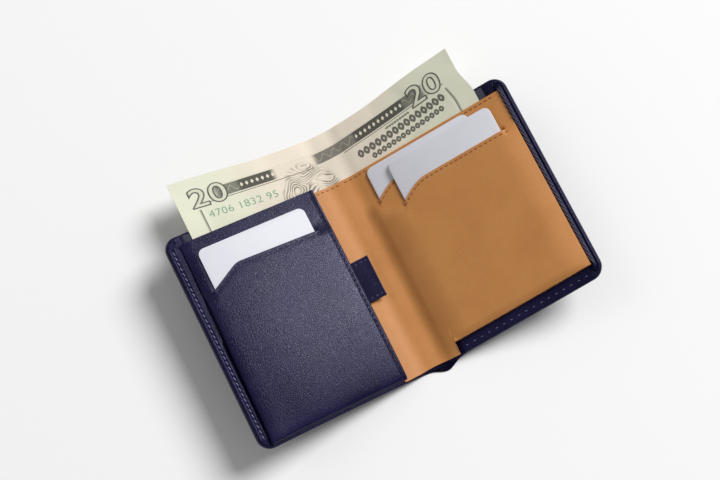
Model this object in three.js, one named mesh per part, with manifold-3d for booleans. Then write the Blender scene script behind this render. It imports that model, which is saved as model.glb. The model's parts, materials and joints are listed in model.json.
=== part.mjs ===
// Bifold note-sleeve wallet, open in a shallow V and resting on its spine.
//
// Row frame, in millimetres: +X towards the right leaf, +Y towards the mouth of the note sleeve,
// +Z up out of the wallet. The origin is the centre of the spine's flat outer face.
//
// Each leaf is drawn lying flat in its own group and then turned up about its fold line.
// A place on a leaf is given by u, the distance from the fold line, by v along the fold line,
// and by n, the height above the leaf's outer face.

import * as THREE from 'three';
import { mergeVertices } from 'three/addons/utils/BufferGeometryUtils.js';
import Module from 'manifold-3d';

const wasm = await Module();
wasm.setup();

// ---------------------------------------------------------------- driving sizes

const height = 105;                // along the fold lines
const leafWidth = 84.5;            // from a fold line to the leaf's outer edge
const cornerRadius = 6.5;
const openAngle = THREE.MathUtils.degToRad(15.5);
const baseMargin = 2.2;            // flat strip that the wallet rests on, beyond each fold line

const shellThickness = 1.0;
const hemThickness = 1.0;          // the shell's edge, turned inwards, leaves the notes their room
const hemWidth = 10.5;
const textileThickness = 0.2;
const liningThickness = 0.7;
const pocketThickness = 0.7;
const ribbonThickness = 0.3;
const gap = 0.1;                   // between two layers that lie on each other
const closedGap = 0.4;             // between the two leaves' faces when the wallet is closed

const cardWidth = 53.98;
const cardLength = 85.6;
const cardThickness = 0.76;
const cardCorner = 3.18;

const noteWidth = 150;
const noteHeight = 66;
const noteThickness = 0.14;
const noteExposure = 22.5;         // how far the front note stands out of the mouth
const noteStagger = 1.4;           // how much further the back note stands out

const liningTopInset = 6.5;        // the lining ends this far below the shell's top edge
const liningSideInset = 4.3;
const liningBottomInset = 6.4;
const borderEnd = 9.6;             // the bottom border starts this far from the fold line
const flushInset = 0.4;

const panelInner = 9.9;            // left pocket panel, measured from the fold line
const panelSideInset = 7.1;
const panelTopInset = 5.2;

const cardFloor = 8.3;             // from the wallet's bottom edge to the bottom of a seated card
const leftCardInner = 18.2;
const frontCardInner = 19.2;
const rearCardInner = 8.4;
const rearCardRise = 3.1;          // the rear card sits higher than the front one
const leftCardShowing = 12.4;      // card above its slot
const frontCardShowing = 13.6;
const rearSlotRise = 6.8;          // rear slot above the front one
const slotEndDrop = 6.8;           // a thumb cut at one end of each slot
const slotCutLength = 15.5;

const stashCardInner = 14;
const tabWidth = 20.6;
const tabReach = 8.8;              // pull tab beyond the panel's inner edge
const tabThickness = 1.0;
const tabRaise = THREE.MathUtils.degToRad(20);
const tabCentre = -2.2;
const ribbonWidth = 14;

const seamWidth = 0.5;
const seamHeight = 0.2;
const seamLift = 0.05;
const seamInset = 1.8;             // from a leather edge to the thread beside it

// ---------------------------------------------------------------- levels, measured from a leaf's outer face

const half = height / 2;
const textileLevel = shellThickness + gap;
const backNoteLevel = textileLevel + textileThickness + gap;
const frontNoteLevel = backNoteLevel + noteThickness + gap;
const hemLevel = shellThickness + hemThickness;
const liningLevel = hemLevel + gap;
const liningTop = liningLevel + liningThickness;
const foldLevel = liningLevel + liningThickness / 2;
const foldClearance = 0.6;         // a layer starts this far from the fold line it turns about
const seamRise = seamLift + seamHeight;

const ribbonLevel = liningTop + gap;
const stashLevel = ribbonLevel + ribbonThickness + gap;
const leftBackLevel = stashLevel + cardThickness + gap;
const leftCardLevel = leftBackLevel + pocketThickness + gap;
const leftFrontLevel = leftCardLevel + cardThickness + gap;

const rearCardLevel = liningTop + seamRise + gap;
const middleLevel = rearCardLevel + cardThickness + gap;
const frontCardLevel = middleLevel + pocketThickness + seamRise + gap;
const rightFrontLevel = frontCardLevel + cardThickness + gap;

// The fold lines are as far apart as the two leaves' stacks need to lie face to face when closed.
const leftFace = leftFrontLevel + pocketThickness + seamRise;
const rightFace = rightFrontLevel + pocketThickness + seamRise;
const foldX = (leftFace + rightFace + closedGap) / 2 - foldLevel;
const baseWidth = 2 * (foldX + baseMargin);

// ---------------------------------------------------------------- materials

const finish = (color, roughness) => new THREE.MeshStandardMaterial({ color, roughness, metalness: 0 });
const navyLeather = finish(0x2b3145, 0.55);
const tanLeather = finish(0xb5824f, 0.6);
const textile = finish(0x3a3f4e, 0.9);
const navyThread = finish(0x59607a, 0.8);
const tanThread = finish(0xc79a67, 0.8);
const cardPlastic = finish(0xd9dae2, 0.4);
const notePaper = finish(0xd8cfb4, 0.85);

// ---------------------------------------------------------------- shape helpers

// A closed outline through corners [x, y, radius], with each corner rounded by a true arc.
function outline(corners) {
  const shape = new THREE.Shape();
  corners.forEach(([x, y, radius = 0], i) => {
    const corner = new THREE.Vector2(x, y);
    if (radius === 0) {
      if (i === 0) shape.moveTo(x, y);
      else shape.lineTo(x, y);
      return;
    }
    const count = corners.length;
    const before = new THREE.Vector2(...corners[(i + count - 1) % count]).sub(corner).normalize();
    const after = new THREE.Vector2(...corners[(i + 1) % count]).sub(corner).normalize();
    const halfAngle = Math.acos(THREE.MathUtils.clamp(before.dot(after), -1, 1)) / 2;
    const reach = radius / Math.tan(halfAngle);
    const centre = before.clone().add(after).normalize().multiplyScalar(radius / Math.sin(halfAngle)).add(corner);
    const start = corner.clone().addScaledVector(before, reach);
    const end = corner.clone().addScaledVector(after, reach);
    if (i === 0) shape.moveTo(start.x, start.y);
    else shape.lineTo(start.x, start.y);
    const startAngle = start.clone().sub(centre).angle();
    const endAngle = end.clone().sub(centre).angle();
    const clockwise = before.cross(after) > 0;
    shape.absarc(centre.x, centre.y, radius, startAngle, endAngle, clockwise);
  });
  return shape;
}

// A flat sheet of the given outline, from one level up to the next.
function sheet(corners, level, thickness) {
  const settings = { depth: thickness, bevelEnabled: false, curveSegments: 6 };
  return new THREE.ExtrudeGeometry(outline(corners), settings).translate(0, 0, level);
}

// A rectangle's corners, from its low corner to its high corner.
const rectangle = (x0, y0, x1, y1, radius = 0) => [
  [x0, y0, radius], [x1, y0, radius], [x1, y1, radius], [x0, y1, radius],
];

// The corners of a narrow band that follows a line of points.
function band(points, width) {
  const line = points.map(([x, y]) => new THREE.Vector2(x, y));
  const sides = [[], []];
  line.forEach((point, i) => {
    const into = point.clone().sub(line[Math.max(i - 1, 0)]).normalize();
    const out = line[Math.min(i + 1, line.length - 1)].clone().sub(point).normalize();
    const along = into.add(out).normalize();
    const across = new THREE.Vector2(-along.y, along.x).multiplyScalar(width / 2);
    const left = point.clone().add(across);
    const right = point.clone().sub(across);
    sides[0].push([left.x, left.y]);
    sides[1].unshift([right.x, right.y]);
  });
  return [...sides[0], ...sides[1]];
}

// The same corners on the leaf that lies on the other side of the spine.
const mirrored = (corners) => corners.map(([x, y, radius = 0]) => [-x, y, radius]);

function toSolid(geometry) {
  const bare = geometry.clone();
  bare.deleteAttribute('normal');
  bare.deleteAttribute('uv');
  const merged = mergeVertices(bare, 1e-4);
  return new wasm.Manifold(new wasm.Mesh({
    numProp: 3,
    vertProperties: new Float32Array(merged.attributes.position.array),
    triVerts: new Uint32Array(merged.index.array),
  }));
}

function fromSolid(solid) {
  const mesh = solid.getMesh();
  const geometry = new THREE.BufferGeometry();
  geometry.setAttribute('position', new THREE.BufferAttribute(mesh.vertProperties, 3));
  geometry.setIndex(new THREE.BufferAttribute(mesh.triVerts, 1));
  geometry.computeVertexNormals();
  return geometry;
}

const joined = (first, second) => fromSolid(toSolid(first).add(toSolid(second)));

function add(group, name, geometry, material) {
  const mesh = new THREE.Mesh(geometry, material);
  mesh.name = name;
  group.add(mesh);
}

// ---------------------------------------------------------------- leaf outlines, drawn for the right leaf

const shellStart = baseMargin + 0.3;
const panelOuter = leafWidth - panelSideInset;
const panelTop = half - panelTopInset;
const liningOuter = leafWidth - liningSideInset;
const liningUpper = half - liningTopInset;
const liningLower = -half + liningBottomInset;
const sheetBottom = -half + flushInset;
const cardBottom = -half + cardFloor;

const shellOutline = [
  [shellStart, -half], [leafWidth, -half, cornerRadius], [leafWidth, half, cornerRadius], [shellStart, half],
];

const hemOutline = [
  [borderEnd + gap, -half], [leafWidth, -half, cornerRadius], [leafWidth, half, cornerRadius],
  [leafWidth - hemWidth, half], [leafWidth - hemWidth, -half + hemWidth], [borderEnd + gap, -half + hemWidth],
];

const textileOutline = rectangle(shellStart, -half + hemWidth + gap, leafWidth - hemWidth - gap, half - 1);

const leftLiningOutline = [
  [foldClearance, sheetBottom], [panelOuter, sheetBottom], [panelOuter, liningUpper, 2],
  [foldClearance, liningUpper],
];

const rightLiningOutline = [
  [foldClearance, sheetBottom], [borderEnd, sheetBottom], [borderEnd - 0.7, liningLower],
  [liningOuter, liningLower, 2], [liningOuter, liningUpper, 2], [foldClearance, liningUpper],
];

const panelOutline = [
  [panelInner, sheetBottom], [panelOuter, sheetBottom, 3], [panelOuter, panelTop, 3], [panelInner, panelTop, 1],
];

// A slot's lip, from its inner end to its outer end. The thumb cut is at the end that dips.
function slotLip(inner, level, cutAtInner) {
  const outer = inner + cardWidth + 2.4;
  const low = level - slotEndDrop;
  if (cutAtInner) {
    return [[inner - 1.2, low], [inner + slotCutLength / 2, level - 1.4], [inner + slotCutLength, level],
      [outer - 2, level], [outer, level - 1]];
  }
  return [[inner - 1.6, level - 2], [inner - 0.4, level - 0.6], [outer - slotCutLength, level],
    [outer - slotCutLength / 2, level - 3], [outer, low]];
}

const leftLip = slotLip(leftCardInner, cardBottom + cardLength - leftCardShowing, false);
const frontSlotLevel = cardBottom + cardLength - frontCardShowing;
const frontLip = slotLip(frontCardInner, frontSlotLevel, true);
const rearLip = slotLip(rearCardInner, frontSlotLevel + rearSlotRise, true);

// A pocket wall below a lip, level with the lip's ends at its two sides.
function pocketOutline(inner, outer, bottom, lip) {
  const first = lip[0];
  const last = lip[lip.length - 1];
  return [[inner, bottom], [outer, bottom, 2], [outer, last[1]], ...[...lip].reverse(), [inner, first[1]]];
}

const leftFrontOutline = pocketOutline(panelInner, panelOuter, sheetBottom, leftLip);
const middleOutline = pocketOutline(rearCardInner - 3, liningOuter - 1, liningLower + gap, rearLip);
const rightFrontOutline = pocketOutline(frontCardInner - 6, liningOuter - 1, liningLower + gap, frontLip);

// Thread beside a lip, on the pocket wall.
const lipSeam = (lip) => band(lip.map(([x, y]) => [x, y - seamInset]), seamWidth);

// ---------------------------------------------------------------- sub-parts

function card(inner, bottom, level) {
  return sheet(rectangle(inner, bottom, inner + cardWidth, bottom + cardLength, cardCorner), level, cardThickness);
}

function shellLeaf(place) {
  const plate = sheet(place(shellOutline), 0, shellThickness);
  const hem = sheet(place(hemOutline), 0, hemLevel);
  return joined(plate, hem);
}

function seam(group, name, corners, level, material) {
  add(group, name, sheet(corners, level + seamLift, seamHeight), material);
}

function spine(group) {
  const edge = foldX - foldClearance;
  add(group, 'shell_spine', sheet(rectangle(-baseWidth / 2, -half, baseWidth / 2, half), 0, shellThickness), navyLeather);
  const textileStrip = rectangle(-edge, -half + hemWidth, edge, half - 1);
  add(group, 'note_pocket_lining_spine', sheet(textileStrip, textileLevel, textileThickness), textile);
  const liningStrip = rectangle(-edge, sheetBottom, edge, liningUpper);
  add(group, 'lining_spine', sheet(liningStrip, liningLevel, liningThickness), tanLeather);
}

function leftLeaf(group) {
  add(group, 'shell_left', shellLeaf(mirrored), navyLeather);
  add(group, 'note_pocket_lining_left', sheet(mirrored(textileOutline), textileLevel, textileThickness), textile);
  add(group, 'lining_left', sheet(mirrored(leftLiningOutline), liningLevel, liningThickness), tanLeather);
  add(group, 'left_pocket_back', sheet(mirrored(panelOutline), leftBackLevel, pocketThickness), navyLeather);
  add(group, 'left_pocket_front', sheet(mirrored(leftFrontOutline), leftFrontLevel, pocketThickness), navyLeather);
  add(group, 'card_left', card(-leftCardInner - cardWidth, cardBottom, leftCardLevel), cardPlastic);

  const panelFace = leftFrontLevel + pocketThickness;
  const rimLine = [[-leafWidth + 3, -half + 7], [-leafWidth + 3, half - 7]];
  seam(group, 'seam_left_rim', band(rimLine, seamWidth), hemLevel, navyThread);
  seam(group, 'seam_left_slot', mirrored(lipSeam(leftLip)), panelFace, navyThread);
  const innerX = -panelInner - seamInset;
  const innerLine = [[innerX, sheetBottom + 1], [innerX, leftLip[0][1] - 2 * seamInset]];
  seam(group, 'seam_left_panel_edge', band(innerLine, seamWidth), panelFace, navyThread);
}

// The hidden card, the ribbon that runs behind it and round its far edge, and the tab that pulls it.
function stash(group) {
  const cardOuter = stashCardInner + cardWidth;
  add(group, 'stash_card', card(-cardOuter, cardBottom, stashLevel), cardPlastic);

  const low = tabCentre - ribbonWidth / 2;
  const high = tabCentre + ribbonWidth / 2;
  const strip = sheet(rectangle(-cardOuter - 0.9, low, -panelInner + 2, high), ribbonLevel, ribbonThickness);
  const hookHeight = stashLevel + cardThickness - ribbonLevel;
  const hook = sheet(rectangle(-cardOuter - 0.9, low, -cardOuter - 0.4, high), ribbonLevel, hookHeight);
  add(group, 'stash_ribbon', joined(strip, hook), textile);

  const tabGroup = new THREE.Group();
  tabGroup.position.set(-panelInner + 0.5, tabCentre, ribbonLevel + ribbonThickness + gap);
  tabGroup.rotation.y = -tabRaise;
  group.add(tabGroup);
  const tab = sheet(rectangle(0, -tabWidth / 2, tabReach, tabWidth / 2, 1.5), 0, tabThickness);
  add(tabGroup, 'pull_tab', tab, navyLeather);
  const x0 = 2.5;
  const x1 = tabReach - 1.6;
  const y = tabWidth / 2 - seamInset;
  seam(tabGroup, 'seam_pull_tab', band([[x0, -y], [x1, -y], [x1, y], [x0, y]], seamWidth), tabThickness, navyThread);
}

function rightLeaf(group) {
  const same = (corners) => corners;
  add(group, 'shell_right', shellLeaf(same), navyLeather);
  add(group, 'note_pocket_lining_right', sheet(textileOutline, textileLevel, textileThickness), textile);
  add(group, 'lining_right', sheet(rightLiningOutline, liningLevel, liningThickness), tanLeather);
  add(group, 'card_right_rear', card(rearCardInner, cardBottom + rearCardRise, rearCardLevel), cardPlastic);
  add(group, 'right_pocket_middle', sheet(middleOutline, middleLevel, pocketThickness), tanLeather);
  add(group, 'card_right_front', card(frontCardInner, cardBottom, frontCardLevel), cardPlastic);
  add(group, 'right_pocket_front', sheet(rightFrontOutline, rightFrontLevel, pocketThickness), tanLeather);

  const rimX = leafWidth - liningSideInset / 2;
  seam(group, 'seam_right_rim', band([[rimX, -half + 7], [rimX, half - 7]], seamWidth), hemLevel, navyThread);
  const bottomY = -half + liningBottomInset / 2;
  const bottomLine = [[borderEnd + 2, bottomY], [leafWidth - 7, bottomY]];
  seam(group, 'seam_right_bottom', band(bottomLine, seamWidth), hemLevel, navyThread);
  const topY = liningUpper - seamInset / 2;
  const topLine = [[foldClearance + 2, topY], [liningOuter - 2, topY]];
  seam(group, 'seam_right_top', band(topLine, seamWidth), liningTop, tanThread);
  seam(group, 'seam_right_rear_slot', lipSeam(rearLip), middleLevel + pocketThickness, tanThread);
  seam(group, 'seam_right_front_slot', lipSeam(frontLip), rightFrontLevel + pocketThickness, tanThread);
}

// One third of each note lies on the spine, and the others on the two leaves.
const notes = [
  { name: 'note_back', level: backNoteLevel, top: half + noteExposure + noteStagger },
  { name: 'note_front', level: frontNoteLevel, top: half + noteExposure },
];

function noteMiddles(group) {
  const edge = foldX - foldClearance;
  for (const note of notes) {
    const strip = rectangle(-edge, note.top - noteHeight, edge, note.top);
    add(group, `${note.name}_mid`, sheet(strip, note.level, noteThickness), notePaper);
  }
}

function noteSides(group, side, place) {
  for (const note of notes) {
    const outer = noteWidth / 2 - foldX;
    const strip = place(rectangle(foldClearance, note.top - noteHeight, outer, note.top));
    add(group, `${note.name}_${side}`, sheet(strip, note.level, noteThickness), notePaper);
  }
}

// ---------------------------------------------------------------- assembly

// A leaf's group turns about its fold line; the inner group brings the leaf's outer face down to n = 0.
function foldedLeaf(wallet, x, angle) {
  const turned = new THREE.Group();
  turned.position.set(x, 0, foldLevel);
  turned.rotation.y = angle;
  wallet.add(turned);
  const leaf = new THREE.Group();
  leaf.position.z = -foldLevel;
  turned.add(leaf);
  return leaf;
}

const wallet = new THREE.Group();
spine(wallet);
noteMiddles(wallet);

const left = foldedLeaf(wallet, -foldX, openAngle);
leftLeaf(left);
stash(left);
noteSides(left, 'left', mirrored);

const right = foldedLeaf(wallet, foldX, -openAngle);
rightLeaf(right);
noteSides(right, 'right', (corners) => corners);

export default wallet;
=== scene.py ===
"""An open bifold note-sleeve wallet in navy and tan leather, with cards and two notes.

Every sheet is cut and stacked lying flat, as on a bench, and then folded up round the spine:
x is the distance from the spine's middle, y runs towards the sleeve's mouth and z is the height
above the leather's outer face. All lengths are in metres.
"""

import json
import math
from bisect import bisect_right

import bmesh
import bpy
from mathutils import Matrix, Vector


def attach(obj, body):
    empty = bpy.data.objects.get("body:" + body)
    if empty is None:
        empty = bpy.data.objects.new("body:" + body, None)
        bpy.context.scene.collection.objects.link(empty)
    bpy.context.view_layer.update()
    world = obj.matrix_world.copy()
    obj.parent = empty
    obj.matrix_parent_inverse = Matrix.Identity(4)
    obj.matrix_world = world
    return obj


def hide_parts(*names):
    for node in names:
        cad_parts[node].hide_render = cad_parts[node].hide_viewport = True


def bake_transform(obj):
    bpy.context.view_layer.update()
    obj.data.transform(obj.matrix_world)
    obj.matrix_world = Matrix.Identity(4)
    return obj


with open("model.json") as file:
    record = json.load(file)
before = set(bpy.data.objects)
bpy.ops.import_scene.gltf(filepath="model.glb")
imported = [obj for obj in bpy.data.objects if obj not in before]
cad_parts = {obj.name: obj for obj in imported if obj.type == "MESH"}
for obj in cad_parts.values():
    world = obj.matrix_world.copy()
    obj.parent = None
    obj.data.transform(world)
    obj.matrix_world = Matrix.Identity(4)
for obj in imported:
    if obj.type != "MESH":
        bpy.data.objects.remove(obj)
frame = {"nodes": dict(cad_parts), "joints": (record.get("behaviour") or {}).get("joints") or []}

bl_info = {
    "name": "Bifold Note-Sleeve Wallet",
    "version": (1, 0, 0),
    "blender": (4, 5, 0),
    "location": "3D View > Sidebar > Wallet",
    "description": "Builds the leather, thread, cards and notes of an open bifold wallet",
    "category": "Add Mesh",
}

# ---------------------------------------------------------------- sizes taken from the frame

MM = 0.001
LEFT, RIGHT = -1, 1
SIDES = ((LEFT, "left"), (RIGHT, "right"))
LEAF_BODY = {LEFT: "left_leaf", RIGHT: "right_leaf"}
FOLD = next(j for j in frame["joints"] if j["name"] == "right_fold")
FOLD_X, _, FOLD_Z = FOLD["pos_m"]
OPEN_ANGLE = -math.radians(FOLD["range_deg"][0])
BEND_START, BEND_END = 1.0 * MM, 10.5 * MM       # the leather bends between these
LEAF_SKEW = {LEFT: -1.8 * MM, RIGHT: 1.3 * MM}   # the leaves' lower corners aren't quite square


def smooth(t):
    """Eases from 0 to 1 as t does."""
    t = min(max(t, 0.0), 1.0)
    return t * t * (3 - 2 * t)


def mix(a, b, share):
    return a + (b - a) * share


def flat_box(node):
    """Lowest and highest corner of a CAD node with its leaf laid flat; x is the distance from the spine."""
    low, high = Vector((1, 1, 1)), Vector((-1, -1, -1))
    for vert in frame["nodes"][node].data.vertices:
        x, y, z = vert.co
        x = abs(x)
        if x > FOLD_X:
            dx, dz = x - FOLD_X, z - FOLD_Z
            x = FOLD_X + dx * math.cos(OPEN_ANGLE) + dz * math.sin(OPEN_ANGLE)
            z = FOLD_Z - dx * math.sin(OPEN_ANGLE) + dz * math.cos(OPEN_ANGLE)
        low = Vector(map(min, low, (x, y, z)))
        high = Vector(map(max, high, (x, y, z)))
    return low, high


def fold(side, x, y, z):
    """The place in the row frame of a point of the flat stack."""
    angle = OPEN_ANGLE * smooth((x - BEND_START) / (BEND_END - BEND_START))
    dx, dz = x - FOLD_X, z - FOLD_Z
    out = FOLD_X + dx * math.cos(angle) - dz * math.sin(angle)
    up = FOLD_Z + dx * math.sin(angle) + dz * math.cos(angle)
    skew = LEAF_SKEW[side] * (x / LEAF_EDGE) ** 1.5 * smooth((HALF - y) / (2 * HALF))
    return Vector((side * out, y + skew, up))


SHELL = flat_box("shell_right")
LEAF_EDGE = SHELL[1].x
HALF = SHELL[1].y
CORNER = 6.5 * MM
LINING = flat_box("lining_right")
PANEL = flat_box("left_pocket_back")
PANEL_FRONT = flat_box("left_pocket_front")
MIDDLE = flat_box("right_pocket_middle")
FRONT = flat_box("right_pocket_front")
CARD_LEFT = flat_box("card_left")
CARD_FRONT = flat_box("card_right_front")
CARD_REAR = flat_box("card_right_rear")
STASH_CARD = flat_box("stash_card")
NOTE_BACK = flat_box("note_back_right")
NOTE_FRONT = flat_box("note_front_right")
BORDER_END = FOLD_X + 9.3 * MM          # the inner end of the right leaf's lower border
CARD_CORNER = 3.18 * MM
SEAM_INSET = 1.5 * MM                   # from a leather edge to its row of stitches
LINING_UPPER = LINING[1].y
LINING_FLUSH = LINING[0].y              # the tan leather's lower edge at the spine
LINING_LOWER = -HALF + 6.4 * MM         # and beside the lower border
PANEL_LOWER = -HALF + 1.3 * MM
PANEL_SEAM = PANEL[0].x + SEAM_INSET + 0.4 * MM
SHELL_LEATHER = 1.0 * MM
ROLL_LEVEL = 0.95 * MM                  # the level where the rolled rim stands out furthest
TAB_SLOPE, TAB_TILT = 0.36, 0.346       # the pull tab's rise towards the spine, and that angle in radians
TAB_LIFT, TAB_LEATHER = 0.45 * MM, 1.0 * MM
TAB_SEAM = 1.7 * MM                     # from the tab's two ends to their stitches


# ---------------------------------------------------------------- mesh helpers

def stations(stops, steps):
    """Places along a line through the stops, each span divided into steps of about the given length."""
    places = [stops[0]]
    for start, end, step in zip(stops, stops[1:], steps):
        count = max(1, round((end - start) / step))
        places += [start + (end - start) * (k + 1) / count for k in range(count)]
    return places


def steady(value):
    """A lane or a height that is the same everywhere."""
    return lambda *place: value


def rounded_stations(start, edge, radius, step, count):
    """Places from start to an edge with a rounded corner, closer together as the corner turns."""
    straight = stations([start, edge - radius], [step])
    turn = [edge - radius + radius * math.sin(math.pi / 2 * (k + 1) / count) for k in range(count)]
    return straight + turn


def solid_sheet(columns, lanes, counts, top, bottom, slits=()):
    """A closed sheet lying flat. Its columns stand at the given x, and its rows run between the lanes,
    which give y for an x. top and bottom give a point's two heights from x, y and its row's side of
    each lane: -1 below, 1 above. A slit is (lane, start, end): the sheet is cut along that lane."""
    lane_rows = [sum(counts[:k]) for k in range(len(lanes))]
    bm = bmesh.new()
    bmesh.ops.create_grid(bm, x_segments=len(columns) - 1, y_segments=lane_rows[-1], size=1)
    row_of = bm.verts.layers.float.new("row")
    face_row = bm.faces.layers.float.new("face_row")
    for vert in bm.verts:
        column = round((vert.co.x + 1) / 2 * (len(columns) - 1))
        row = round((vert.co.y + 1) / 2 * lane_rows[-1])
        lane = min(bisect_right(lane_rows, row) - 1, len(counts) - 1)
        share = (row - lane_rows[lane]) / counts[lane]
        x = columns[column]
        vert.co = (x, mix(lanes[lane](x), lanes[lane + 1](x), share), 0)
        vert[row_of] = row
    for face in bm.faces:
        face[face_row] = sum(v[row_of] for v in face.verts) / 4
    for lane, start, end in slits:
        at = lane_rows[lane]
        on_lane = {v for v in bm.verts if v[row_of] == at and start <= v.co.x <= end}
        cut = [e for e in bm.edges if e.verts[0] in on_lane and e.verts[1] in on_lane]
        bmesh.ops.split_edges(bm, edges=cut)
        for vert in bm.verts:
            if vert[row_of] == at:
                vert[row_of] = sum(f[face_row] for f in vert.link_faces) / len(vert.link_faces)

    def sides(vert):
        return [min(max(2 * (vert[row_of] - at), -1), 1) for at in lane_rows]

    made = bmesh.ops.extrude_face_region(bm, geom=bm.faces[:], use_keep_orig=True)
    under = {v for v in made["geom"] if isinstance(v, bmesh.types.BMVert)}
    for vert in bm.verts:
        height = bottom if vert in under else top
        vert.co.z = height(vert.co.x, vert.co.y, sides(vert))
    bmesh.ops.recalc_face_normals(bm, faces=bm.faces[:])
    return bm


def map_pattern(bm, side):
    """Keeps the flat pattern as the UV map, ten to the metre."""
    uv = bm.loops.layers.uv.new("cut")
    for face in bm.faces:
        for loop in face.loops:
            loop[uv].uv = (side * loop.vert.co.x * 10, loop.vert.co.y * 10)


def new_object(name, data):
    """A new object in the scene."""
    made = bpy.data.objects.new(name, data)
    bpy.context.scene.collection.objects.link(made)
    return made


def make_object(name, bm, material, sharp):
    """Makes a mesh object in the scene, smooth except at edges sharper than so many degrees."""
    mesh = bpy.data.meshes.new(name)
    bm.to_mesh(mesh)
    bm.free()
    mesh.shade_smooth()
    mesh.set_sharp_from_angle(angle=math.radians(sharp))
    mesh.materials.append(material)
    piece = new_object(name, mesh)
    return piece


def finish_piece(name, bm, side, material, warp=None, sharp=50, bevel=0.0):
    """Maps a flat sheet, folds it up and makes it an object."""
    map_pattern(bm, side)
    rounded = bm.edges.layers.float.new("bevel_weight_edge")
    for edge in bm.edges:
        on_spine = all(v.co.x < 0.01 * MM for v in edge.verts)
        edge[rounded] = 0.0 if on_spine or edge.calc_face_angle(0) < 1 else 1.0
    for vert in bm.verts:
        x, y, z = warp(*vert.co) if warp else vert.co
        vert.co = fold(side, x, y, z)
    if side == LEFT:
        bmesh.ops.reverse_faces(bm, faces=bm.faces[:])
    piece = make_object(name, bm, material, sharp)
    if bevel:
        edge = piece.modifiers.new("edge", "BEVEL")
        edge.width = bevel
        edge.segments = 2
        edge.limit_method = "WEIGHT"
    return piece


def hinge_on(piece):
    """Bakes the piece's placement into its mesh; the piece is already folded round the spine and is attached
    to no body.
    """
    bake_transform(piece)


def card_wall(name, side, material, reach, low, slit, bottom, top):
    """The wall behind a card, hidden by the pocket in front of it."""
    lanes = [steady(low), lambda x: slit.line(x) - 0.5 * MM]
    bm = solid_sheet(stations(reach, [3 * MM]), lanes, [24], steady(top), steady(bottom))
    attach(finish_piece(name, bm, side, material), LEAF_BODY[side])


def add_stitch(bm, place, turn, half_size):
    """Adds one stitch, a short length of round thread."""
    matrix = Matrix.Translation(place) @ turn @ Matrix.Diagonal((*half_size, 1)) @ Matrix.Rotation(
        math.pi / 2, 4, "Y")
    bmesh.ops.create_uvsphere(bm, u_segments=8, v_segments=6, radius=1, matrix=matrix)


# ---------------------------------------------------------------- materials

def connect(tree, made, inputs):
    """Links each input that is a socket, and sets each other one."""
    for key, value in inputs.items():
        if isinstance(value, bpy.types.NodeSocket):
            tree.links.new(value, made.inputs[key])
        else:
            made.inputs[key].default_value = value


def node(tree, kind, inputs, **settings):
    made = tree.nodes.new(kind)
    for key, value in settings.items():
        setattr(made, key, value)
    connect(tree, made, inputs)
    return made


def maths(tree, operation, *values):
    return node(tree, "ShaderNodeMath", dict(enumerate(values)), operation=operation).outputs[0]


def ramp(tree, value, low, high, to_low=0.0, to_high=1.0):
    """Eases from to_low to to_high as value goes from low to high."""
    return node(tree, "ShaderNodeMapRange", {0: value, 1: low, 2: high, 3: to_low, 4: to_high},
                interpolation_type="SMOOTHSTEP").outputs[0]


def tint(tree, factor, first, second):
    """Mixes two colours, each a socket or three numbers."""
    first, second = (c if isinstance(c, bpy.types.NodeSocket) else (*c, 1) for c in (first, second))
    return node(tree, "ShaderNodeMix", {0: factor, 6: first, 7: second}, data_type="RGBA").outputs[2]


def noise(tree, place, scale, detail=2.0, distortion=0.0, output="Fac"):
    inputs = {"Vector": place, "Scale": scale, "Detail": detail, "Distortion": distortion}
    return node(tree, "ShaderNodeTexNoise", inputs).outputs[output]


def bump(tree, height, strength, distance):
    inputs = {"Height": height, "Strength": strength, "Distance": distance}
    return node(tree, "ShaderNodeBump", inputs).outputs[0]


def new_material(name, coordinates="UV"):
    """A new material, its node tree, its shader and the coordinates that its pattern follows."""
    material = bpy.data.materials.new(name)
    material.use_nodes = True
    tree = material.node_tree
    place = node(tree, "ShaderNodeTexCoord", {}).outputs[coordinates]
    return material, tree, tree.nodes["Principled BSDF"], place


def leather(name, colour, deep, grain, relief, roughness, gloss, gloss_tint, handled=None):
    """Grained leather: pebbles between fine creases, uneven dye, and more polish round a handled place."""
    material, tree, shader, place = new_material(name)
    wander = noise(tree, place, 70.0, output="Color")
    bent = node(tree, "ShaderNodeVectorMath", {0: wander, "Scale": 0.006}, operation="SCALE").outputs[0]
    at = node(tree, "ShaderNodeVectorMath", {0: place, 1: bent}, operation="ADD").outputs[0]
    cells = node(tree, "ShaderNodeTexVoronoi", {"Vector": at, "Scale": 1 / grain, "Randomness": 1.0},
                 feature="DISTANCE_TO_EDGE")
    creases = ramp(tree, cells.outputs["Distance"], 0.0, 0.22)
    fine = noise(tree, place, 420.0, 4.0)
    cloud = noise(tree, place, 5.0, 3.0)
    height = maths(tree, "ADD", maths(tree, "MULTIPLY", fine, 0.45), creases)
    dyed = tint(tree, ramp(tree, cloud, 0.3, 0.7), deep, colour)
    if handled:
        away = node(tree, "ShaderNodeVectorMath", {0: place, 1: handled}, operation="DISTANCE")
        gloss = ramp(tree, away.outputs["Value"], 0.62, 0.1, 0.42 * gloss, 1.12 * gloss)
    connect(tree, shader, {
        "Base Color": tint(tree, creases, tint(tree, 0.35, dyed, deep), dyed),
        "Roughness": maths(tree, "ADD", maths(tree, "MULTIPLY", cloud, 0.12), roughness - 0.06),
        "Normal": bump(tree, height, 0.6, relief),
        "Specular IOR Level": gloss, "Specular Tint": (*gloss_tint, 1)})
    return material


def thread(name, colour, deep):
    """Twisted waxed thread."""
    material, tree, shader, place = new_material(name, "Object")
    wave = node(tree, "ShaderNodeTexWave", {"Vector": place, "Scale": 900.0, "Distortion": 1.0})
    twist = wave.outputs["Fac"]
    connect(tree, shader, {"Base Color": tint(tree, twist, deep, colour), "Roughness": 0.55,
                           "Normal": bump(tree, twist, 0.5, 0.00008)})
    return material


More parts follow.
